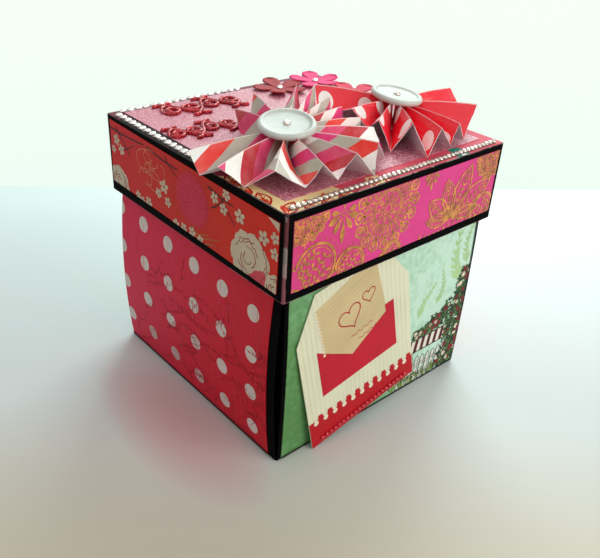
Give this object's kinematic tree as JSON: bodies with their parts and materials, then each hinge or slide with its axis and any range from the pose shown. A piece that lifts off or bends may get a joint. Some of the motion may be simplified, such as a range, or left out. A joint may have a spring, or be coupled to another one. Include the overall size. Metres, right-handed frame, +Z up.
{
  "type": "explosion gift box",
  "caption": "Small cube gift box of folded card with a lift-off patterned lid carrying pleated paper rosettes, buttons, felt flowers and gem strips; nested layers fall open under the lid.",
  "frame": {"origin": "Centre of the box's underside, on the ground plane.", "axes": "+Z up, the way the lid lifts off. -Y is the front, with the standing card; -X is the side with the dotted paper seen in the reference picture."},
  "size_m": [0.1188, 0.1089, 0.1165],
  "materials": {
    "black_card": "matt black card, the three nested crosses and the mats on the rim",
    "cream_paper": "plain cream paper mats inside",
    "dotted_wall_paper": "crimson paper printed with pale round dots",
    "mint_wall_paper": "mint paper printed with a garden design",
    "patchwork_card": "printed patchwork card of the lid",
    "blossom_paper": "red paper printed with small blossoms and peonies",
    "foil_paper": "hot pink paper with gold foil scrolls and flowers",
    "glitter_mat": "rose pink paper with fine glitter",
    "striped_paper": "paper with diagonal red, pink, white and grey stripes, white on its back",
    "dotted_paper": "strong red paper with large white dots, pale on its back",
    "button_plastic": "glossy white plastic",
    "clear_stone": "clear faceted acrylic stones on a thin clear band",
    "red_stone": "red faceted acrylic stones on a thin band",
    "red_felt": "dark red pressed felt",
    "pink_felt": "hot pink pressed felt",
    "rose_felt": "rose crimson pressed felt",
    "red_glitter": "die-cut card covered with deep red glitter",
    "cream_card": "cream card printed with an envelope and a ruled letter"
  },
  "bodies": {
    "box": {"outer_box": "black_card", "middle_layer": "black_card", "inner_layer": "black_card", "wall_paper_right": "dotted_wall_paper", "wall_paper_back": "mint_wall_paper", "wall_paper_left": "dotted_wall_paper", "wall_paper_front": "mint_wall_paper", "middle_mat_right": "cream_paper", "middle_mat_back": "cream_paper", "middle_mat_left": "cream_paper", "middle_mat_front": "cream_paper", "inner_mat_right": "cream_paper", "inner_mat_back": "cream_paper", "inner_mat_left": "cream_paper", "inner_mat_front": "cream_paper", "floor_mat": "cream_paper", "standing_card": "cream_card", "card_gems": "red_stone"},
    "lid": {"lid_tray": "patchwork_card", "rim_mat_right": "black_card", "rim_mat_back": "black_card", "rim_mat_left": "black_card", "rim_mat_front": "black_card", "rim_paper_right": "blossom_paper", "rim_paper_back": "foil_paper", "rim_paper_left": "blossom_paper", "rim_paper_front": "foil_paper", "top_mat": "glitter_mat", "gem_strip_front": "clear_stone", "gem_strip_back": "clear_stone", "gem_strip_left": "clear_stone", "backing_disc_striped": "cream_paper", "rosette_striped": "striped_paper", "button_striped": "button_plastic", "button_gem_striped": "clear_stone", "backing_disc_dotted": "cream_paper", "rosette_dotted": "dotted_paper", "button_dotted": "button_plastic", "button_gem_dotted": "clear_stone", "flower_red": "red_felt", "flower_gem_red": "clear_stone", "flower_pink": "pink_felt", "flower_gem_pink": "clear_stone", "flower_rose": "rose_felt", "flower_gem_rose": "clear_stone", "scroll_upper": "red_glitter", "scroll_lower": "red_glitter"}
  },
  "joints": [
    {"name": "lid_lift", "type": "slide", "parent": "box", "child": "lid", "axis": [0, 0, 1], "range_m": [0, 0.06]}
  ]
}
